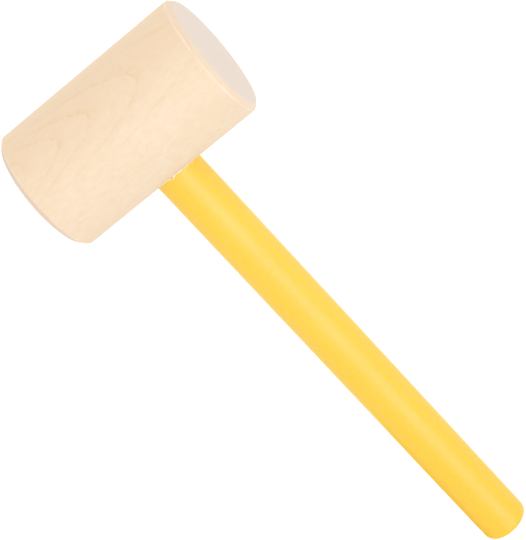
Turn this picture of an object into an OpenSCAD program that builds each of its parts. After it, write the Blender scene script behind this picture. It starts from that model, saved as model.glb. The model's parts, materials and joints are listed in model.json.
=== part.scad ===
// Wooden mallet: a turned head on a straight, coated round handle that is set in a blind
// socket. It lies as it rests on a bench: the side of the head and the edge of the handle's
// butt touch Z = 0. The handle runs towards +X and the head's axis lies along Y.

/* [Head] */
// Diameter of the turned head
head_d = 65; // [60:0.5:90]
// Length of the head from one striking face to the other
head_len = 106.2; // [80:0.1:140]
// Width of the 45 degree chamfer around each striking face
rim_chamfer = 2.7; // [0.5:0.1:6]
// Distance from the middle of the head to the handle's axis, towards +Y
eye_offset = 1.9; // [-6:0.1:6]

/* [Handle] */
// Outside diameter of the coated handle
handle_d = 25.3; // [22:0.1:30]
// Distance from the head's axis to the end of the handle
handle_reach = 293.7; // [180:0.1:400]
// Radius of the rounding around the butt
butt_round = 3.5; // [2:0.1:6]
// Thickness of the coat over the handle's wood
coat_t = 0.45; // [0.3:0.05:0.8]

/* [Blind socket] */
// Depth of the socket below the side of the head
socket_depth = 47; // [36:0.5:52]
// Depth of the wider mouth that takes the coated part of the handle
mouth_depth = 6; // [5:0.5:10]
// Thickness of the glue all round the tenon
glue_t = 0.15; // [0.1:0.05:0.3]
// Thickness of the glue between the tenon's end and the socket's floor
glue_pool = 1; // [0.5:0.1:2]
// Height and width of the bead of glue at the mouth
glue_bead = 0.6; // [0.3:0.1:1]
// Diameter of the dimple that the bit's centre point leaves in the socket's floor
point_d = 5; // [4.5:0.5:8]
// Depth of that dimple
point_depth = 2; // [1:0.5:3]

/* [Tenon and wedge] */
// Chamfer around the tenon's end
tenon_chamfer = 1.5; // [0.5:0.1:3]
// Width of the saw kerf in the tenon
kerf_w = 1.2; // [0.8:0.1:2]
// Length of the saw kerf
kerf_len = 28; // [24:1:32]
// Length of the hidden wedge in the kerf
wedge_len = 22; // [16:1:23]
// Thickness of the wedge at its driven end
wedge_t = 3.2; // [2.5:0.1:4]

/* [Hidden] */
$fn = 128;

head_r = head_d / 2;
handle_r = handle_d / 2;
core_r = handle_r - coat_t;
core_reach = handle_reach - coat_t;
core_round = butt_round - coat_t;

// Places along the handle's axis, measured from the head's axis
socket_floor = head_r - socket_depth;
mouth_floor = head_r - mouth_depth;
tenon_end = socket_floor + glue_pool;
coat_start = mouth_floor + glue_t;
feather_end = head_r + 2 * glue_bead;

socket_r = core_r + glue_t;
mouth_r = handle_r + glue_t;
bead_r = mouth_r + glue_bead;

// The coat thins over the feathered stretch where it enters the head
feather_t = coat_t / 2;

// The butt's edge and the side of the head touch the same plane at this tilt of the handle
butt_arm = handle_reach - butt_round;
butt_rise = handle_r - butt_round;
lie_angle = asin((head_r - butt_round) / norm([butt_arm, butt_rise])) - atan2(butt_rise, butt_arm);

// Middle of the whole mallet's length, measured from the head's axis
far_x = butt_arm * cos(lie_angle) + butt_rise * sin(lie_angle) + butt_round;
middle_x = (far_x - head_r) / 2;

// Lays a part, built with the head's axis on Y and the handle on +X, on the plane Z = 0
module lay_down() {
    translate([-middle_x, 0, head_r])
        rotate([0, lie_angle, 0])
            children();
}

// Turns a shape built along +Z so that it runs along the handle's axis
module along_handle() {
    translate([0, eye_offset, 0])
        rotate([0, 90, 0])
            children();
}

// Solid of revolution about Y: a cylinder centred on the origin
module head_cylinder(r, len) {
    rotate([90, 0, 0])
        cylinder(r = r, h = len, center = true);
}

// Cylinder about the handle's axis from one place along it to another
module handle_cylinder(r, from, to) {
    along_handle()
        translate([0, 0, from])
            cylinder(r = r, h = to - from);
}

// Half profile of a rod whose far end is rounded; X is the radius and Y runs along the rod
module rod_profile(r, from, to, rounding) {
    translate([0, from])
        square([r, to - rounding - from]);
    translate([0, to - rounding - 0.01])
        square([r - rounding, rounding + 0.01]);
    intersection() {
        translate([r - rounding, to - rounding])
            circle(r = rounding);
        translate([0, to - 2 * rounding])
            square([r, 2 * rounding]);
    }
}

// The head as it comes off the lathe, before it is bored
module head_blank() {
    flat_r = head_r - rim_chamfer;
    half = head_len / 2;
    rotate([-90, 0, 0])
        rotate_extrude()
            polygon([
                [0, -half],
                [flat_r, -half],
                [head_r, rim_chamfer - half],
                [head_r, half - rim_chamfer],
                [flat_r, half],
                [0, half],
            ]);
}

// Everything that the socket removes: the tenon's bore, the wider mouth and the bit's dimple
module socket_space() {
    handle_cylinder(socket_r, socket_floor, head_r);
    handle_cylinder(mouth_r, mouth_floor, head_r + 1);
    along_handle()
        translate([0, 0, socket_floor - point_depth])
            cylinder(r1 = 0, r2 = point_d / 2, h = point_depth + 0.01);
}

module head_solid() {
    difference() {
        head_blank();
        socket_space();
    }
}

// The handle's wood without its kerf: the long rod and the chamfered end of the tenon
module core_blank() {
    along_handle()
        rotate_extrude()
            union() {
                rod_profile(core_r, tenon_end + tenon_chamfer, core_reach, core_round);
                polygon([
                    [0, tenon_end],
                    [core_r - tenon_chamfer, tenon_end],
                    [core_r, tenon_end + tenon_chamfer],
                    [0, tenon_end + tenon_chamfer],
                ]);
            }
}

// Wedge-shaped slab across the whole tenon, its thick end on the socket's floor
module wedge_slab() {
    translate([0, eye_offset, 0])
        linear_extrude(height = 2 * core_r, center = true)
            polygon([
                [socket_floor, -wedge_t / 2],
                [socket_floor, wedge_t / 2],
                [socket_floor + wedge_len, kerf_w / 2],
                [socket_floor + wedge_len, -kerf_w / 2],
            ]);
}

module wedge_solid() {
    intersection() {
        wedge_slab();
        handle_cylinder(core_r, socket_floor, socket_floor + wedge_len);
    }
}

module kerf_space() {
    translate([socket_floor + kerf_len / 2, eye_offset, 0])
        cube([kerf_len, kerf_w, 2 * handle_r], center = true);
}

// The coat is closed over the butt and feathers out where it enters the head
module coat_solid() {
    difference() {
        along_handle()
            rotate_extrude()
                union() {
                    rod_profile(handle_r, feather_end, handle_reach, butt_round);
                    polygon([
                        [0, coat_start],
                        [core_r + feather_t, coat_start],
                        [handle_r, feather_end],
                        [0, feather_end],
                    ]);
                }
        core_blank();
    }
}

module head() {
    color("#f8dec2")
        lay_down()
            head_solid();
}

module handle_core() {
    color("#dfc49a")
        lay_down()
            difference() {
                core_blank();
                kerf_space();
                wedge_slab();
            }
}

module handle_coat() {
    color("#ffd44a")
        lay_down()
            coat_solid();
}

module fox_wedge() {
    color("#b98a58")
        lay_down()
            wedge_solid();
}

// Glue fills the socket around the tenon and stands out of the mouth as a small bead
module glue_line() {
    color("#f3ead2")
        lay_down()
            difference() {
                intersection() {
                    handle_cylinder(bead_r, socket_floor - point_depth, head_r + glue_bead);
                    head_cylinder(head_r + glue_bead, head_len);
                }
                head_solid();
                core_blank();
                coat_solid();
                wedge_solid();
            }
}

head();
handle_core();
handle_coat();
fox_wedge();
glue_line();
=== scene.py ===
"""Looks of the wooden mallet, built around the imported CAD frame.

The head, the handle's coat and the glue line are modelled here as finer meshes of the same
sizes as their CAD solids. The handle's wood and the hidden wedge stay as CAD nodes.
Lengths are in metres in the meshes and in millimetres in the materials.
"""
import json
import math
import random

import bmesh
import bpy
from mathutils import Matrix, Vector, noise


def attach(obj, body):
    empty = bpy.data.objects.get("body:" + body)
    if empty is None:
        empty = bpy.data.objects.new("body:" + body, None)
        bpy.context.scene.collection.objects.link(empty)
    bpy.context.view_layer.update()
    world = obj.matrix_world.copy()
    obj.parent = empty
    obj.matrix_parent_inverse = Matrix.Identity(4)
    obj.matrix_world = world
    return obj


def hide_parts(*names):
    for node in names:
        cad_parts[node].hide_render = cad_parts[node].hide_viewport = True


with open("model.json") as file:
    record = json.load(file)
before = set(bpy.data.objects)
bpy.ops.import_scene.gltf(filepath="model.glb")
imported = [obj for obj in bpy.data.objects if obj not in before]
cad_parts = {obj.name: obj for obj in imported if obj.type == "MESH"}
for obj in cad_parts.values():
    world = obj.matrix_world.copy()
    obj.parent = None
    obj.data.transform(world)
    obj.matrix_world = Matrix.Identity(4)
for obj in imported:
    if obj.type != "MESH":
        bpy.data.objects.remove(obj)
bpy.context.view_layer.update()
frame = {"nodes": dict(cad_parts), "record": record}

MM = 0.001

# ---------------------------------------------------------------- sizes, from the frame
mounts = {m["name"]: m for m in frame["record"]["mounts"]}
face_near = Vector(mounts["face_near_handle"]["pos_m"])
face_far = Vector(mounts["face_far_from_handle"]["pos_m"])
grip_middle = Vector(mounts["grip"]["pos_m"])
grip_length = mounts["grip"]["dims"]["length_mm"] * MM

HEAD_CENTRE = (face_near + face_far) / 2
HEAD_HALF = (face_near - face_far).length / 2
HEAD_R = HEAD_CENTRE.z
EYE_OFFSET = grip_middle.y - HEAD_CENTRE.y
HANDLE_DIR = Vector(mounts["grip"]["axis"]).normalized()
HANDLE_R = mounts["grip"]["dims"]["r_mm"] * MM

# Edges and the joint, as the CAD solids have them
RIM_CHAMFER = 2.7 * MM
BUTT_ROUND = 3.5 * MM
COAT_T = 0.45 * MM
GLUE_T = 0.15 * MM
MOUTH_DEPTH = 6.0 * MM
SOCKET_DEPTH = 47.0 * MM
GLUE_POOL = 1.0 * MM
FEATHER_REACH = 1.2 * MM

CORE_R = HANDLE_R - COAT_T
SOCKET_R = CORE_R + GLUE_T
MOUTH_R = HANDLE_R + GLUE_T

# Places along the handle's axis, measured from the head's axis
MOUTH_FLOOR = HEAD_R - MOUTH_DEPTH
SOCKET_FLOOR = HEAD_R - SOCKET_DEPTH
TENON_END = SOCKET_FLOOR + GLUE_POOL
COAT_START = MOUTH_FLOOR + GLUE_T
FEATHER_END = HEAD_R + FEATHER_REACH
HANDLE_REACH = (grip_middle - HEAD_CENTRE).dot(HANDLE_DIR) + grip_length / 2 + BUTT_ROUND


def build_frame():
    """Matrix from the upright build frame (head's axis on Y, handle on +X) to the row frame."""
    side = Vector((0, 1, 0))
    up = HANDLE_DIR.cross(side)
    axes = Matrix((HANDLE_DIR, side, up)).transposed()
    return Matrix.Translation(HEAD_CENTRE) @ axes.to_4x4()


TO_ROW = build_frame()


# ---------------------------------------------------------------- mesh tools
class Shell:
    """Collects the rings of points and the faces between them, in the build frame."""

    def __init__(self):
        self.points = []
        self.faces = []

    def ring(self, points):
        """Adds points, and returns their numbers."""
        start = len(self.points)
        self.points.extend(points)
        return list(range(start, len(self.points)))

    def bridge(self, ring_a, ring_b):
        """Quads between two closed rings of the same count."""
        count = len(ring_a)
        for i in range(count):
            j = (i + 1) % count
            self.faces.append((ring_a[i], ring_a[j], ring_b[j], ring_b[i]))

    def cap(self, ring, centre):
        """Triangles from a closed ring to one middle point."""
        middle = self.ring([centre])[0]
        count = len(ring)
        for i in range(count):
            self.faces.append((ring[i], ring[(i + 1) % count], middle))

    def drop_loose(self):
        """Leaves out the points that no face uses."""
        used = sorted({i for face in self.faces for i in face})
        place = {old: new for new, old in enumerate(used)}
        self.points = [self.points[i] for i in used]
        self.faces = [tuple(place[i] for i in face) for face in self.faces]

    def piece(self, name, material, sharp_degrees=50):
        """The finished Blender piece, smooth except where it turns by more than that angle."""
        mesh = bpy.data.meshes.new(name)
        mesh.from_pydata([TO_ROW @ Vector(p) for p in self.points], [], self.faces)
        mesh.validate()
        for polygon in mesh.polygons:
            polygon.use_smooth = True
        mesh.materials.append(material)
        mesh.set_sharp_from_angle(angle=math.radians(sharp_degrees))
        piece = bpy.data.objects.new(name, mesh)
        bpy.context.scene.collection.objects.link(piece)
        make_outward(mesh)
        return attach(piece, "root")


def make_outward(mesh):
    """Turns the faces so that they all look out of the solid."""
    work = bmesh.new()
    work.from_mesh(mesh)
    bmesh.ops.recalc_face_normals(work, faces=work.faces)
    work.to_mesh(mesh)
    work.free()


def spaced(start, end, steps):
    """steps + 1 evenly spaced values from start to end."""
    return [start + (end - start) * i / steps for i in range(steps + 1)]


def rounded(corners, radii, steps=6):
    """A profile through the corners, with an arc of the given radius at each inner corner."""
    profile = [Vector(corners[0])]
    for before, corner, after, radius in zip(corners, corners[1:], corners[2:], radii):
        corner = Vector(corner)
        back = (Vector(before) - corner).normalized()
        on = (Vector(after) - corner).normalized()
        half_angle = back.angle(on) / 2
        reach = radius / math.tan(half_angle)
        middle = corner + (back + on).normalized() * (radius / math.sin(half_angle))
        start = corner + back * reach - middle
        end = corner + on * reach - middle
        turn = start.angle(end)
        for share in spaced(0, 1, steps):
            mix = start * math.sin((1 - share) * turn) + end * math.sin(share * turn)
            profile.append(middle + mix / math.sin(turn))
    profile.append(Vector(corners[-1]))
    return profile


# ---------------------------------------------------------------- head
HEAD_COLUMNS = 192
COLUMN_STEP = 2 * math.pi / HEAD_COLUMNS
ROWS_BESIDE_PATCH = 30

# The patch of the side around the mouth: half its columns, its rows, and the rings in it
PATCH_COLUMNS = 17
PATCH_ROWS = 34
PATCH_RINGS = 10

# Below 1, the patch's rings lie closer together towards the mouth's lip
RING_CROWDING = 0.8

# Roundings of the chamfer's two edges
SIDE_EDGE_R = 1.3 * MM
FACE_EDGE_R = 0.6 * MM

# Rings on each striking face, as shares of its flat's radius
FACE_RINGS = (0.8, 0.55, 0.3, 0.1)

# The mouth's edge: its least width and the chips' width in millimetres, and how closely
# the chips follow around the mouth
LIP_LEAST = 0.12
LIP_CHIPS = 0.55
CHIPS_AROUND = 6
CHIPS_SEED = 0.7


def on_side(angle, y, radius=HEAD_R):
    """A point on the head's side; angle 0 faces the handle, and y runs along the head."""
    return (radius * math.cos(angle), y, radius * math.sin(angle))


def mouth_point(turn, radius, x=None):
    """A point around the handle's axis; with no x it lies on the head's side."""
    z = radius * math.sin(turn)
    if x is None:
        x = math.sqrt(HEAD_R**2 - z**2)
    return (x, EYE_OFFSET + radius * math.cos(turn), z)


def lip_width(turn):
    """Width of the mouth's edge, where the bit has torn out small chips of wood."""
    place = Vector((CHIPS_AROUND * math.cos(turn), CHIPS_AROUND * math.sin(turn), CHIPS_SEED))
    return (LIP_LEAST + LIP_CHIPS * max(0, noise.noise(place))) * MM


def rim_profile():
    """(radius, y) from the head's side round the chamfer to the striking face."""
    corners = [
        (HEAD_R, 0),
        (HEAD_R, HEAD_HALF - RIM_CHAMFER),
        (HEAD_R - RIM_CHAMFER, HEAD_HALF),
        (0, HEAD_HALF),
    ]
    return rounded(corners, [SIDE_EDGE_R, FACE_EDGE_R])[1:-1]


def side_rows(side_end):
    """Places of the side's rows along the head, and the patch's first and last row."""
    patch_half = PATCH_COLUMNS * COLUMN_STEP * HEAD_R
    low, high = EYE_OFFSET - patch_half, EYE_OFFSET + patch_half
    below = spaced(-side_end, low, ROWS_BESIDE_PATCH)
    across = spaced(low, high, PATCH_ROWS)
    above = spaced(high, side_end, ROWS_BESIDE_PATCH)
    first = len(below) - 1
    return below[:-1] + across + above[1:], first, first + PATCH_ROWS


def add_side(shell, grid, first, last):
    """The head's side, apart from the patch around the mouth."""
    for row in range(len(grid) - 1):
        for column in range(HEAD_COLUMNS):
            offset = (column + PATCH_COLUMNS) % HEAD_COLUMNS
            if first <= row < last and offset < 2 * PATCH_COLUMNS:
                continue
            nxt = (column + 1) % HEAD_COLUMNS
            shell.faces.append(
                (grid[row][column], grid[row][nxt], grid[row + 1][nxt], grid[row + 1][column])
            )


def patch_edge(first, last):
    """(row, column) of each point on the patch's edge, walked once round."""
    left, right = -PATCH_COLUMNS, PATCH_COLUMNS
    edge = [(first, c) for c in range(left, right)]
    edge += [(r, right) for r in range(first, last)]
    edge += [(last, c) for c in range(right, left, -1)]
    edge += [(r, left) for r in range(last, first, -1)]
    return edge


def add_patch(shell, grid, rows, edge, turns):
    """Rings on the side, from the patch's edge in to the mouth's lip; returns the last one."""
    ring = [grid[r][c % HEAD_COLUMNS] for r, c in edge]
    for i in range(1, PATCH_RINGS + 1):
        share = (i / PATCH_RINGS) ** RING_CROWDING
        points = []
        for (r, c), turn in zip(edge, turns):
            lip_r = MOUTH_R + lip_width(turn)
            lip_angle = math.asin(lip_r * math.sin(turn) / HEAD_R)
            lip_y = EYE_OFFSET + lip_r * math.cos(turn)
            angle = c * COLUMN_STEP * (1 - share) + lip_angle * share
            y = rows[r] * (1 - share) + lip_y * share
            points.append(on_side(angle, y))
        new = shell.ring(points)
        shell.bridge(ring, new)
        ring = new
    return ring


def add_socket(shell, ring, turns):
    """From the mouth's lip down to the socket's floor."""

    def bore_ring(radius, x):
        return shell.ring([mouth_point(t, radius, x) for t in turns])

    def lip_ring():
        points = []
        for turn in turns:
            x, y, z = mouth_point(turn, MOUTH_R)
            points.append((x - lip_width(turn), y, z))
        return shell.ring(points)

    for new in (
        lip_ring(),
        bore_ring(MOUTH_R, MOUTH_FLOOR),
        bore_ring(SOCKET_R, MOUTH_FLOOR),
        bore_ring(SOCKET_R, SOCKET_FLOOR),
        bore_ring(SOCKET_R / 2, SOCKET_FLOOR),
    ):
        shell.bridge(ring, new)
        ring = new
    shell.cap(ring, (SOCKET_FLOOR, EYE_OFFSET, 0))


def add_striking_face(shell, ring, sign, rim, angles):
    """The rounded chamfer and the flat at one end of the head; sign is +1 or -1."""
    flat = [Vector((rim[-1].x * share, HEAD_HALF)) for share in FACE_RINGS]
    for point in rim[1:] + flat:
        new = shell.ring([on_side(a, sign * point.y, point.x) for a in angles])
        shell.bridge(ring, new)
        ring = new
    shell.cap(ring, (0, sign * HEAD_HALF, 0))


def head_piece(material):
    shell = Shell()
    rim = rim_profile()
    rows, first, last = side_rows(rim[0].y)
    angles = [COLUMN_STEP * i for i in range(HEAD_COLUMNS)]
    grid = [shell.ring([on_side(a, y) for a in angles]) for y in rows]
    add_side(shell, grid, first, last)

    edge = patch_edge(first, last)
    turns = [math.atan2(c * COLUMN_STEP * HEAD_R, rows[r] - EYE_OFFSET) for r, c in edge]
    lip = add_patch(shell, grid, rows, edge, turns)
    add_socket(shell, lip, turns)

    add_striking_face(shell, grid[-1], 1, rim, angles)
    add_striking_face(shell, grid[0], -1, rim, angles)
    shell.drop_loose()
    return shell.piece("mallet_head", material)


# ---------------------------------------------------------------- handle's coat
COAT_COLUMNS = 128
COAT_ROWS = 120

# Rings on the butt, as shares of its flat's radius
BUTT_RINGS = (0.7, 0.4, 0.15)

# Slow waves in the coat: their height, and how closely they follow, per metre along the handle
# and around it
WAVE_HEIGHT = 0.04 * MM
WAVES_ALONG = 45
WAVES_AROUND = 1.3
WAVE_OCTAVES = 3


def coat_wave(x, turn):
    """Height of the coat's slow waves at a place along and around the handle."""
    place = Vector((x * WAVES_ALONG, WAVES_AROUND * math.cos(turn), WAVES_AROUND * math.sin(turn)))
    return WAVE_HEIGHT * noise.fractal(place, 1.0, 2.0, WAVE_OCTAVES)


def handle_ring(shell, x, radius, wavy=False):
    points = []
    for i in range(COAT_COLUMNS):
        turn = 2 * math.pi * i / COAT_COLUMNS
        grown = radius + (coat_wave(x, turn) if wavy else 0)
        points.append(mouth_point(turn, grown, x))
    return shell.ring(points)


def rod_end(radius, reach, rounding):
    """(radius, x) round the edge of a rod's end, from its side to its flat."""
    corners = [(radius, 0), (radius, reach), (0, reach)]
    return rounded(corners, [rounding], steps=10)[1:-1]


def add_rings(shell, rings, reach):
    """Faces along the rings, and a cap on the last one."""
    for a, b in zip(rings, rings[1:]):
        shell.bridge(a, b)
    shell.cap(rings[-1], (reach, EYE_OFFSET, 0))


def coat_piece(material):
    shell = Shell()
    rings = [
        handle_ring(shell, COAT_START, CORE_R),
        handle_ring(shell, COAT_START, CORE_R + COAT_T / 2),
    ]
    for x in spaced(FEATHER_END, HANDLE_REACH - BUTT_ROUND, COAT_ROWS):
        rings.append(handle_ring(shell, x, HANDLE_R, wavy=True))
    for point in rod_end(HANDLE_R, HANDLE_REACH, BUTT_ROUND)[1:]:
        rings.append(handle_ring(shell, point.y, point.x, wavy=True))
    for share in BUTT_RINGS:
        rings.append(handle_ring(shell, HANDLE_REACH, (HANDLE_R - BUTT_ROUND) * share))
    add_rings(shell, rings, HANDLE_REACH)

    inner_reach = HANDLE_REACH - COAT_T
    inner = [rings[0]]
    for point in rod_end(CORE_R, inner_reach, BUTT_ROUND - COAT_T):
        inner.append(handle_ring(shell, point.y, point.x))
    add_rings(shell, inner, inner_reach)
    return shell.piece("yellow_handle_coat", material)


# ---------------------------------------------------------------- glue
GLUE_COLUMNS = 288

# The bead: its size, the part of it that is even, and how closely its swellings follow around
BEAD = 0.2 * MM
BEAD_EVEN = 0.8
BEAD_AROUND = 3
BEAD_SEED = 4.1
BEAD_STEPS = 6

# How far a bead spreads over the head, and how far it bulges, as shares of its size
SPREAD = 0.25
BULGE = 0.3

# Fuller drops that were pressed out of the joint: (turn around the tenon, half width, reach)
DROPS = [
    (math.radians(97), math.radians(6.5), 1.2 * MM),
    (math.radians(77), math.radians(5), 0.5 * MM),
    (math.radians(58), math.radians(5), 0.3 * MM),
    (math.radians(41), math.radians(4), 0.35 * MM),
    (math.radians(205), math.radians(7), 0.7 * MM),
    (math.radians(330), math.radians(6), 0.5 * MM),
]


def bead_size(turn):
    """Size of the squeezed-out bead around the mouth: thin, with a few drops."""
    place = Vector((BEAD_AROUND * math.cos(turn), BEAD_AROUND * math.sin(turn), BEAD_SEED))
    size = BEAD * (BEAD_EVEN + noise.noise(place))
    for where, half_width, reach in DROPS:
        size += reach * math.exp(-(((turn - where) / half_width) ** 2))
    return size


def bead_points(turn):
    """The bead's outer line at one place around the tenon, from the coat to the head."""
    size = bead_size(turn)
    corner = Vector(mouth_point(turn, HANDLE_R))
    out = Vector((corner.x, 0, corner.z)).normalized()
    away = Vector((0, math.cos(turn), math.sin(turn)))
    along_side = (away - out * away.dot(out)).normalized()
    on_head = Vector(mouth_point(turn, MOUTH_R)) + along_side * (BEAD + size * SPREAD)
    on_coat = corner + Vector((1, 0, 0)) * size
    bulge_way = (out + away).normalized()
    bead = []
    for share in spaced(0, 1, BEAD_STEPS):
        height = size * BULGE * math.sin(math.pi * share)
        bead.append(on_coat.lerp(on_head, share) + bulge_way * height)
    return bead


def glue_section(turn):
    """The closed outline of the glue at one place around the tenon."""
    return bead_points(turn) + [
        Vector(mouth_point(turn, MOUTH_R)),
        Vector(mouth_point(turn, MOUTH_R, MOUTH_FLOOR)),
        Vector(mouth_point(turn, SOCKET_R, MOUTH_FLOOR)),
        Vector(mouth_point(turn, SOCKET_R, TENON_END)),
        Vector(mouth_point(turn, CORE_R, TENON_END)),
        Vector(mouth_point(turn, CORE_R, COAT_START)),
        Vector(mouth_point(turn, CORE_R + COAT_T / 2, COAT_START)),
    ]


def glue_piece(material):
    shell = Shell()
    sections = [glue_section(2 * math.pi * i / GLUE_COLUMNS) for i in range(GLUE_COLUMNS)]
    rings = [shell.ring(section) for section in sections]
    for i in range(GLUE_COLUMNS):
        shell.bridge(rings[i], rings[(i + 1) % GLUE_COLUMNS])
    return shell.piece("dried_glue", material)


# ---------------------------------------------------------------- material tools
class Graph:
    """A node material, with one call per node."""

    def __init__(self, name):
        self.material = bpy.data.materials.new(name)
        self.material.use_nodes = True
        self.tree = self.material.node_tree
        self.shader = self.tree.nodes["Principled BSDF"]

    def add(self, kind, settings=None, **inputs):
        node = self.tree.nodes.new("ShaderNode" + kind)
        for key, value in (settings or {}).items():
            setattr(node, key, value)
        for key, value in inputs.items():
            self.feed(node, key, value)
        return node

    def feed(self, node, socket, value):
        """Links a socket, or sets a value, on the node's input of that name or number."""
        target = node.inputs[socket]
        if isinstance(value, bpy.types.NodeSocket):
            self.tree.links.new(value, target)
        else:
            target.default_value = value

    def finish(self, **inputs):
        """Feeds the shader's own inputs, with _ for a space in their names."""
        for key, value in inputs.items():
            self.feed(self.shader, key.replace("_", " "), value)
        return self.material

    def math(self, operation, *values):
        node = self.add("Math", {"operation": operation})
        for socket, value in enumerate(values):
            self.feed(node, socket, value)
        return node.outputs[0]

    def vector_math(self, operation, a, b):
        node = self.add("VectorMath", {"operation": operation})
        self.feed(node, 0, a)
        self.feed(node, 1, b)
        return node

    def blend(self, share, a, b):
        """Colour a where share is 0, and colour b where it is 1."""
        node = self.add("Mix", {"data_type": "RGBA"})
        for socket, value in ((0, share), (6, a), (7, b)):
            self.feed(node, socket, value)
        return node.outputs[2]

    def rise(self, value, start, end, low=0.0, high=1.0):
        """low before start, high after end, and smooth between them."""
        node = self.add("MapRange", {"interpolation_type": "SMOOTHSTEP"}, Value=value)
        for socket, setting in enumerate((start, end, low, high), 1):
            self.feed(node, socket, setting)
        return node.outputs[0]

    def noise(self, place, per_mm, detail=2.0, rough=0.5):
        """Noise from 0 to 1, with its own number of waves per millimetre on each axis."""
        scaled = self.vector_math("MULTIPLY", place, per_mm).outputs[0]
        node = self.add("TexNoise", Vector=scaled, Scale=1.0, Detail=detail, Roughness=rough)
        return node.outputs[0]

    def curve(self, value, low, high, points):
        """A line chart through the points, for values from low to high."""
        share = self.math("DIVIDE", self.math("SUBTRACT", value, low), high - low)
        node = self.add("FloatCurve", Value=share)
        line = node.mapping.curves[0]
        top = max(result for _, result in points)
        while len(line.points) < len(points):
            line.points.new(0.5, 0.5)
        for point, (where, result) in zip(line.points, points):
            point.location = ((where - low) / (high - low), result / top)
            point.handle_type = "VECTOR"
        node.mapping.update()
        return self.math("MULTIPLY", node.outputs[0], top)

    def place(self):
        """Each point's place in the build frame, in millimetres."""
        node = self.add("Mapping", {"vector_type": "TEXTURE"})
        self.feed(node, 0, self.add("TexCoord").outputs["Object"])
        node.inputs["Location"].default_value = TO_ROW.translation
        node.inputs["Rotation"].default_value = TO_ROW.to_euler()
        node.inputs["Scale"].default_value = (MM, MM, MM)
        return node.outputs[0]

    def facing(self, direction):
        """How much the surface faces along or against a direction, from 0 to 1."""
        normal = self.add("TexCoord").outputs["Normal"]
        along = self.vector_math("DOT_PRODUCT", normal, direction).outputs["Value"]
        return self.math("ABSOLUTE", along)

    def bump(self, height_mm):
        """Bumps the surface by a height in millimetres."""
        return self.add("Bump", Height=height_mm, Distance=MM, Strength=1.0).outputs[0]


def rgb(red, green, blue):
    return (red, green, blue, 1.0)


# ---------------------------------------------------------------- wood
# The pith of the head's wood runs beside the head: its distance from the head's axis, its
# direction, and how much wider the trunk's rings get for each millimetre along the head
PITH_AWAY = 90.0
PITH_TURN = math.radians(-41)
TRUNK_TAPER = 0.0707

# Yearly rings, from the bark inward: distance from the pith in millimetres at the middle of the
# head, and how dark the late wood is there. The rest follow by chance, with a fixed seed.
OUTER_RINGS = [
    (127.1, 0.3),
    (125.6, 0.45),
    (124.3, 0.95),
    (123.1, 0.8),
    (120.9, 1.0),
    (117.9, 0.9),
]
INNERMOST_RING = 52.0
RING_WIDTHS = (1.6, 3.4)
RING_STRENGTHS = (0.25, 0.75)
RING_SEED = 11

# The rings' slow and quick wavering: waves per millimetre, and size in millimetres
RING_WAVERS = (((0.05, 0.02, 0.05), 0.8), ((0.3, 0.06, 0.3), 0.22))

# Late wood is darkest at a ring's outer edge, over a broader and fainter body
LATE_EDGE_POWER = 11.0
LATE_BODY_POWER = 2.5
LATE_BODY = 0.35

# Rings show most where the head's side runs flat along them, and fade to both sides, this far
RING_FADE = (9, 22)
RING_LEAST = 0.4

# The head's grain runs along Y. Waves per millimetre on each axis:
TONE_WAVES = (0.06, 0.025, 0.06)
MOTTLE_WAVES = (0.4, 0.22, 0.4)
RING_PATCH_WAVES = (0.08, 0.03, 0.08)
RING_DASH_WAVES = (0.6, 0.4, 0.6)
FIBRE_WAVES = (2.0, 0.14, 2.0)
FLECK_WAVES = (1.3, 0.45, 1.3)
PORE_WAVES = (2.0, 0.3, 2.0)
WEAR_AND_HIGHLIGHT_WAVES = (0.07, 0.04, 0.07)

# Heights of the fibres and pores, in millimetres
FIBRE_HEIGHT = 0.03
PORE_HEIGHT = 0.012

# Where the side's tone deepens away from the handle, partly the wood's own tone and partly
# painted shade, and where painted shade darkens the far rim, in millimetres from the middle
# of the head
BACK_TONE_AND_SHADE_FADE = (-8, -30)
FAR_RIM_SHADE_FADE = (-40, -50)

# Roughness of the sanded wood, and of the edges that handling has smoothed
SANDED = 0.56
RUBBED_SMOOTH = 0.36

# Colours of the head's wood
SIDE_PALE = rgb(0.872, 0.712, 0.545)
SIDE_DEEP = rgb(0.862, 0.680, 0.500)
# Deeper side away from the handle: partly the wood's tone, partly painted shade
SIDE_BACK_TONE_AND_SHADE = rgb(0.885, 0.66, 0.44)
SIDE_MOTTLE = rgb(0.835, 0.65, 0.460)
SIDE_LATE = rgb(0.79, 0.49, 0.22)
SIDE_FIBRE = rgb(0.77, 0.58, 0.38)
SIDE_FLECK = rgb(0.82, 0.60, 0.36)
END_PALE = rgb(0.755, 0.645, 0.548)
END_PORE = rgb(0.64, 0.52, 0.42)
END_LATE = rgb(0.60, 0.46, 0.36)
# Painted shade for the far rim's chamfer
FAR_RIM_SHADE = rgb(0.73, 0.55, 0.43)
# Lighter edge colour: partly wear, partly a painted highlight along the rim
RUBBED_EDGE_AND_HIGHLIGHT = rgb(0.96, 0.87, 0.74)


def year_rings():
    """(distance, strength) of every ring, from the pith outward."""
    chance = random.Random(RING_SEED)
    rings = list(OUTER_RINGS)
    while rings[-1][0] > INNERMOST_RING:
        distance = rings[-1][0] - chance.uniform(*RING_WIDTHS)
        rings.append((distance, chance.uniform(*RING_STRENGTHS)))
    return rings[::-1]


def pith_distance(g, place):
    """Each point's wavering distance from the pith, less the trunk's taper along the head."""
    pith = (-PITH_AWAY * math.sin(PITH_TURN), 0, -PITH_AWAY * math.cos(PITH_TURN))
    across = g.vector_math("MULTIPLY", place, (1, 0, 1)).outputs[0]
    radial = g.vector_math("DISTANCE", across, pith).outputs[1]
    along = g.add("SeparateXYZ", Vector=place).outputs["Y"]
    distance = g.math("SUBTRACT", radial, g.math("MULTIPLY", along, TRUNK_TAPER))
    for per_mm, size in RING_WAVERS:
        waver = g.math("SUBTRACT", g.noise(place, per_mm), 0.5)
        distance = g.math("MULTIPLY_ADD", waver, size, distance)
    return distance


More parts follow.
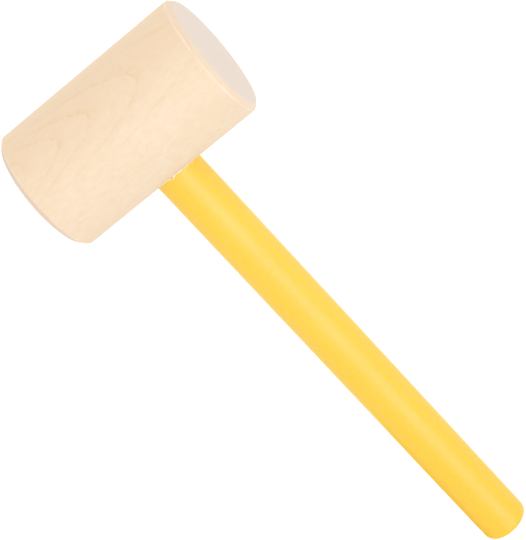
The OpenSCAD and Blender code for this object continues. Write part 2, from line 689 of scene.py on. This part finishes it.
def late_wood(g, place):
    """How much dark late wood there is, from 0 to 1: a sharp outer edge on each ring."""
    distance = pith_distance(g, place)
    rings = year_rings()
    low, high = rings[0][0], rings[-1][0]
    count = g.curve(distance, low, high, [(where, i) for i, (where, _) in enumerate(rings)])
    strength = g.curve(distance, low, high, rings)
    share = g.math("FRACT", count)
    edge = g.math("POWER", share, LATE_EDGE_POWER)
    body = g.math("MULTIPLY", g.math("POWER", share, LATE_BODY_POWER), LATE_BODY)
    to_side = (math.cos(PITH_TURN), 0, -math.sin(PITH_TURN))
    from_flat = g.math("ABSOLUTE", g.vector_math("DOT_PRODUCT", place, to_side).outputs[1])
    strength = g.math("MULTIPLY", strength, g.rise(from_flat, *RING_FADE, 1, RING_LEAST))
    return g.math("MULTIPLY", g.math("ADD", edge, body), strength)


def side_grain(g, place, late, fibre):
    """Colour of the head's side: clouds of tone, late wood, fibres, and short flecks."""
    tone = g.noise(place, TONE_WAVES, 3)
    colour = g.blend(g.rise(tone, 0.35, 0.65), SIDE_PALE, SIDE_DEEP)
    from_axis = g.add("SeparateXYZ", Vector=place).outputs["X"]
    # Deeper side away from the handle: partly the wood's tone, partly painted shade
    colour = g.blend(g.rise(from_axis, *BACK_TONE_AND_SHADE_FADE, 0, 0.75), colour, SIDE_BACK_TONE_AND_SHADE)
    mottle = g.noise(place, MOTTLE_WAVES, 3, 0.65)
    colour = g.blend(g.rise(mottle, 0.3, 0.7, 0, 0.8), colour, SIDE_MOTTLE)
    colour = g.blend(late, colour, SIDE_LATE)
    colour = g.blend(g.rise(fibre, 0.4, 0.8, 0, 0.36), colour, SIDE_FIBRE)
    fleck = g.noise(place, FLECK_WAVES, 1)
    return g.blend(g.rise(fleck, 0.6, 0.8, 0, 0.45), colour, SIDE_FLECK)


def end_grain(g, late, pore):
    """Colour of the striking faces: cooler and greyer, with open pores and faint rings."""
    colour = g.blend(g.rise(pore, 0.5, 0.8, 0, 0.4), END_PALE, END_PORE)
    return g.blend(g.math("MULTIPLY", late, 0.6), colour, END_LATE)


def far_rim_shade_share(g, place, facing):
    """How much painted shade darkens the chamfer at the far rim."""
    chamfer = g.math("MULTIPLY", g.rise(facing, 0.3, 0.6), g.rise(facing, 0.8, 0.95, 1, 0))
    along = g.add("SeparateXYZ", Vector=place).outputs["Y"]
    return g.math("MULTIPLY", chamfer, g.rise(along, *FAR_RIM_SHADE_FADE, 0, 0.36))


def rim_wear_and_highlight(g, place, facing):
    """How much handling has smoothed the edge between the side and each chamfer, and how much
    painted highlight lies on it.
    """
    on_edge = g.math("MULTIPLY", g.rise(facing, 0.08, 0.3), g.rise(facing, 0.42, 0.64, 1, 0))
    wear_and_highlight_share = g.rise(g.noise(place, WEAR_AND_HIGHLIGHT_WAVES, 2), 0.42, 0.6, 0.2, 1)
    return g.math("MULTIPLY", on_edge, wear_and_highlight_share)


def head_wood():
    g = Graph("turned_head_wood")
    place = g.place()
    facing = g.facing((0, 1, 0))

    # Each ring shows in some patches of the wood more than in others, and breaks into dashes
    patch = g.rise(g.noise(place, RING_PATCH_WAVES, 2), 0.38, 0.6, 0.28, 0.54)
    dashes = g.rise(g.noise(place, RING_DASH_WAVES, 2), 0.38, 0.6, 0.25, 1)
    late = g.math("MULTIPLY", late_wood(g, place), g.math("MULTIPLY", patch, dashes))
    fibre = g.noise(place, FIBRE_WAVES, 3, 0.65)
    pore = g.noise(place, PORE_WAVES, 2, 0.6)

    colour = side_grain(g, place, late, fibre)
    colour = g.blend(g.rise(facing, 0.58, 0.99), colour, end_grain(g, late, pore))
    # Painted shade darkens the far rim's chamfer
    colour = g.blend(far_rim_shade_share(g, place, facing), colour, FAR_RIM_SHADE)
    # Wear on the rim's edge, with a painted highlight on it: lighter colour and lower roughness
    edge_wear_and_highlight = rim_wear_and_highlight(g, place, facing)
    colour = g.blend(g.math("MULTIPLY", edge_wear_and_highlight, 0.5), colour, RUBBED_EDGE_AND_HIGHLIGHT)
    pores = g.math("MULTIPLY", pore, PORE_HEIGHT)
    height = g.math("ADD", g.math("MULTIPLY", fibre, FIBRE_HEIGHT), pores)
    roughness = g.rise(edge_wear_and_highlight, 0, 1, SANDED, RUBBED_SMOOTH)
    return g.finish(Base_Color=colour, Roughness=roughness, Normal=g.bump(height))


# The rods' grain runs along X. Waves per millimetre on each axis, and the fibres' height:
ROD_BAND_WAVES = (0.012, 0.35, 0.12)
ROD_FIBRE_WAVES = (0.15, 2.4, 2.4)
ROD_PORE_WAVES = (0.3, 2.2, 2.2)
ROD_FIBRE_HEIGHT = 0.04


def rod_wood(name, pale, deep, pore_colour):
    """Straight-grained wood along the handle, with darker, porous ends."""
    g = Graph(name)
    place = g.place()
    band = g.noise(place, ROD_BAND_WAVES, 3, 0.6)
    colour = g.blend(g.rise(band, 0.35, 0.65), pale, deep)
    fibre = g.noise(place, ROD_FIBRE_WAVES, 3, 0.65)
    colour = g.blend(g.rise(fibre, 0.45, 0.8, 0, 0.4), colour, pore_colour)
    pore = g.noise(place, ROD_PORE_WAVES, 2, 0.6)
    end_colour = g.blend(g.rise(pore, 0.45, 0.75), deep, pore_colour)
    on_end = g.rise(g.facing(HANDLE_DIR), 0.5, 0.95)
    colour = g.blend(on_end, colour, end_colour)
    roughness = g.rise(fibre, 0.3, 0.8, 0.55, 0.7)
    height = g.math("MULTIPLY", fibre, ROD_FIBRE_HEIGHT)
    return g.finish(Base_Color=colour, Roughness=roughness, Normal=g.bump(height))


def handle_wood():
    """The turned hardwood under the yellow coat."""
    pale = rgb(0.78, 0.60, 0.40)
    deep = rgb(0.70, 0.49, 0.29)
    pore_colour = rgb(0.52, 0.34, 0.19)
    return rod_wood("handle_hardwood", pale, deep, pore_colour)


def wedge_wood():
    """The split hardwood of the hidden wedge, a little redder than the handle."""
    pale = rgb(0.70, 0.46, 0.28)
    deep = rgb(0.60, 0.36, 0.20)
    pore_colour = rgb(0.40, 0.22, 0.12)
    return rod_wood("wedge_hardwood", pale, deep, pore_colour)


# ---------------------------------------------------------------- coat and glue
COAT_PALE = rgb(0.95, 0.632, 0.048)
COAT_CLOUD = rgb(0.94, 0.612, 0.040)
# Painted shade: the coat deepened towards the butt and towards the head
COAT_BUTT_SHADE = rgb(0.94, 0.58, 0.010)
COAT_HEAD_SHADE = rgb(0.94, 0.595, 0.034)
# Painted shade on one side of the handle near the butt
COAT_SIDE_SHADE = rgb(0.91, 0.48, 0.008)
COAT_SPECK = rgb(0.945, 0.64, 0.085)
COAT_GLOSS = rgb(0.9, 0.4, 1.0)

# Waves per millimetre on each axis
COAT_CLOUD_WAVES = (0.02, 0.06, 0.06)
COAT_SPECK_WAVES = (0.55, 0.55, 0.55)
DIMPLE_WAVES = (0.8, 1.1, 1.1)
SWELL_WAVES = (0.3, 0.4, 0.4)
GLUE_CLOUD_WAVES = (0.8, 0.8, 0.8)
GLUE_PIT_WAVES = (2, 2, 2)

# Heights of the orange peel's dimples and swells, and of the glue's pits, in millimetres
DIMPLE_HEIGHT = 0.05
SWELL_HEIGHT = 0.12
GLUE_PIT_HEIGHT = 0.05

# Where painted shade deepens the coat, in millimetres from the head's axis, and where painted
# shade darkens one side near the butt
BUTT_SHADE_FADE = (120, 300)
HEAD_SHADE_FADE = (75, 35)
SIDE_SHADE_ALONG = (200, 290)
SIDE_SHADE_ACROSS = (-3, -12)

# The amber spot: how far out of the coat its middle lies, and where it fades
AMBER_OUT = 0.5
AMBER_FADE = (0.75, 1.05)

GLUE_MILKY = rgb(0.93, 0.86, 0.74)
GLUE_FOAMY = rgb(0.90, 0.76, 0.56)
GLUE_AMBER = rgb(0.93, 0.45, 0.10)


def coat_colour(g, place, cloud):
    """The coat's colour, with painted shade deepening it towards both ends of the handle and on
    one side near the butt.
    """
    spot = g.add("SeparateXYZ", Vector=place).outputs
    colour = g.blend(g.rise(cloud, 0.3, 0.7), COAT_PALE, COAT_CLOUD)
    # Painted shade towards the butt and towards the head
    colour = g.blend(g.rise(spot["X"], *BUTT_SHADE_FADE, 0, 0.7), colour, COAT_BUTT_SHADE)
    colour = g.blend(g.rise(spot["X"], *HEAD_SHADE_FADE, 0, 0.55), colour, COAT_HEAD_SHADE)
    # Painted shade on one side near the butt
    butt_side_shade_share = g.math("MULTIPLY", g.rise(spot["X"], *SIDE_SHADE_ALONG), g.rise(spot["Y"], *SIDE_SHADE_ACROSS))
    colour = g.blend(butt_side_shade_share, colour, COAT_SIDE_SHADE)
    # The orange peel catches the pigment unevenly
    speck = g.noise(place, COAT_SPECK_WAVES, 3, 0.7)
    return g.blend(g.rise(speck, 0.35, 0.65, 0, 0.5), colour, COAT_SPECK)


def yellow_coat():
    g = Graph("satin_yellow_coat")
    place = g.place()
    cloud = g.noise(place, COAT_CLOUD_WAVES, 3)
    dimple = g.math("MULTIPLY", g.noise(place, DIMPLE_WAVES, 2), DIMPLE_HEIGHT)
    peel = g.math("MULTIPLY_ADD", g.noise(place, SWELL_WAVES, 2), SWELL_HEIGHT, dimple)
    return g.finish(
        Base_Color=coat_colour(g, place, cloud),
        Roughness=g.rise(cloud, 0.2, 0.8, 0.42, 0.48),
        Specular_Tint=COAT_GLOSS,
        Normal=g.bump(peel),
    )


def glue_material():
    """Milky where the glue dried thin or foamy, amber in the middle of the largest drop."""
    g = Graph("dried_resin_glue")
    place = g.place()
    cloud = g.noise(place, GLUE_CLOUD_WAVES, 2)
    colour = g.blend(g.rise(cloud, 0.4, 0.6), GLUE_MILKY, GLUE_FOAMY)
    largest_turn = DROPS[0][0]
    lip = Vector(mouth_point(largest_turn, HANDLE_R + AMBER_OUT * MM))
    from_lip = g.vector_math("DISTANCE", place, lip / MM).outputs["Value"]
    colour = g.blend(g.rise(from_lip, *AMBER_FADE, 1, 0), colour, GLUE_AMBER)
    roughness = g.rise(cloud, 0.3, 0.7, 0.25, 0.4)
    height = g.math("MULTIPLY", g.noise(place, GLUE_PIT_WAVES, 2), GLUE_PIT_HEIGHT)
    return g.finish(Base_Color=colour, Roughness=roughness, Normal=g.bump(height))


# ---------------------------------------------------------------- camera, floor and light
CAMERA_FROM_HEAD = Vector((-0.1722, 0.2092, 0.8823))
CAMERA_LOOK = Vector((0.2847, -0.2206, -0.9329))
CAMERA_DOWN = Vector((0.7110, -0.6041, 0.3599))
CAMERA_LENS = 130.9
CAMERA_SENSOR = 36.0
CAMERA_CLIP = (0.05, 20)

SHEET_ROUGHNESS = 0.9
FLOOR_HALF = 6.0
FLOOR_GREY = rgb(0.2, 0.2, 0.2)
FLOOR_GLOW = rgb(1, 1, 1)

CARD_X = (0.09, 0.30)
CARD_Y = (-0.30, -0.004)
CARD_Z = 0.5 * MM
CARD_GREY = rgb(0.02, 0.02, 0.02)
CARD_GLOW = rgb(0.95, 0.67, 0.04)

STUDIO_LIGHT = 0.78

# Softboxes: place, size, and brightness
STRIP = ((0.55, 0.55, 1.0), (0.9, 0.8), 3.9)
KEY = ((-0.05, 0.24, 1.2), (1.0, 1.0), 1.95)


def add_camera():
    look = CAMERA_LOOK.normalized()
    up = -(CAMERA_DOWN - look * CAMERA_DOWN.dot(look)).normalized()
    right = look.cross(up)
    turn = Matrix((right, up, -look)).transposed().to_4x4()
    camera = bpy.data.cameras.new("camera")
    camera.lens = CAMERA_LENS
    camera.sensor_width = CAMERA_SENSOR
    camera.clip_start, camera.clip_end = CAMERA_CLIP
    holder = bpy.data.objects.new("camera", camera)
    holder.matrix_world = Matrix.Translation(HEAD_CENTRE + CAMERA_FROM_HEAD) @ turn
    bpy.context.scene.collection.objects.link(holder)
    bpy.context.scene.camera = holder


def add_sheet(name, x_range, y_range, z, grey, glow):
    """A level, matt sheet that glows."""
    (left, right), (near, far) = x_range, y_range
    corners = [(left, near, z), (right, near, z), (right, far, z), (left, far, z)]
    mesh = bpy.data.meshes.new(name)
    mesh.from_pydata(corners, [], [(0, 1, 2, 3)])
    g = Graph(name)
    mesh.materials.append(
        g.finish(
            Base_Color=grey,
            Roughness=SHEET_ROUGHNESS,
            Specular_IOR_Level=0,
            Emission_Color=glow,
            Emission_Strength=1.0,
        )
    )
    sheet = bpy.data.objects.new(name, mesh)
    bpy.context.scene.collection.objects.link(sheet)
    return sheet


def add_floor():
    reach = (-FLOOR_HALF, FLOOR_HALF)
    add_sheet("floor", reach, reach, 0, FLOOR_GREY, FLOOR_GLOW)


def add_card():
    """A warm card on the bench beside the butt, seen only in the coat's gloss."""
    card = add_sheet("warm_card", CARD_X, CARD_Y, CARD_Z, CARD_GREY, CARD_GLOW)
    card.visible_camera = False
    card.visible_diffuse = False
    card.visible_shadow = False


def add_softbox(name, setup, gloss_only=False):
    """A flat light that faces the mallet; its power follows from its size and brightness."""
    place, size, radiance = setup
    light = bpy.data.lights.new(name, "AREA")
    light.shape = "RECTANGLE"
    light.size, light.size_y = size
    light.energy = radiance * math.pi * size[0] * size[1]
    holder = bpy.data.objects.new(name, light)
    back = Vector(place).normalized()
    long_side = (HANDLE_DIR - back * HANDLE_DIR.dot(back)).normalized()
    turn = Matrix((long_side, back.cross(long_side), back)).transposed().to_4x4()
    holder.matrix_world = Matrix.Translation(place) @ turn
    holder.visible_diffuse = not gloss_only
    bpy.context.scene.collection.objects.link(holder)


def add_light():
    world = bpy.data.worlds.new("studio")
    world.use_nodes = True
    background = world.node_tree.nodes["Background"]
    background.inputs["Color"].default_value = rgb(1, 1, 1)
    background.inputs["Strength"].default_value = STUDIO_LIGHT
    bpy.context.scene.world = world
    bpy.context.scene.view_settings.view_transform = "Standard"
    add_softbox("strip", STRIP, gloss_only=True)
    add_softbox("key", KEY)


# ---------------------------------------------------------------- the mallet
def finish_cad_node(node, material):
    """Gives a CAD node that stays as it is a material of its own."""
    for slot in frame["nodes"][node].material_slots:
        slot.material = material


head = head_piece(head_wood())
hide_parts("head")

coat = coat_piece(yellow_coat())
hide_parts("handle_coat")

glue = glue_piece(glue_material())
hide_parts("glue_line")

finish_cad_node("handle_core", handle_wood())
finish_cad_node("fox_wedge", wedge_wood())

add_floor()
add_card()
add_light()
add_camera()
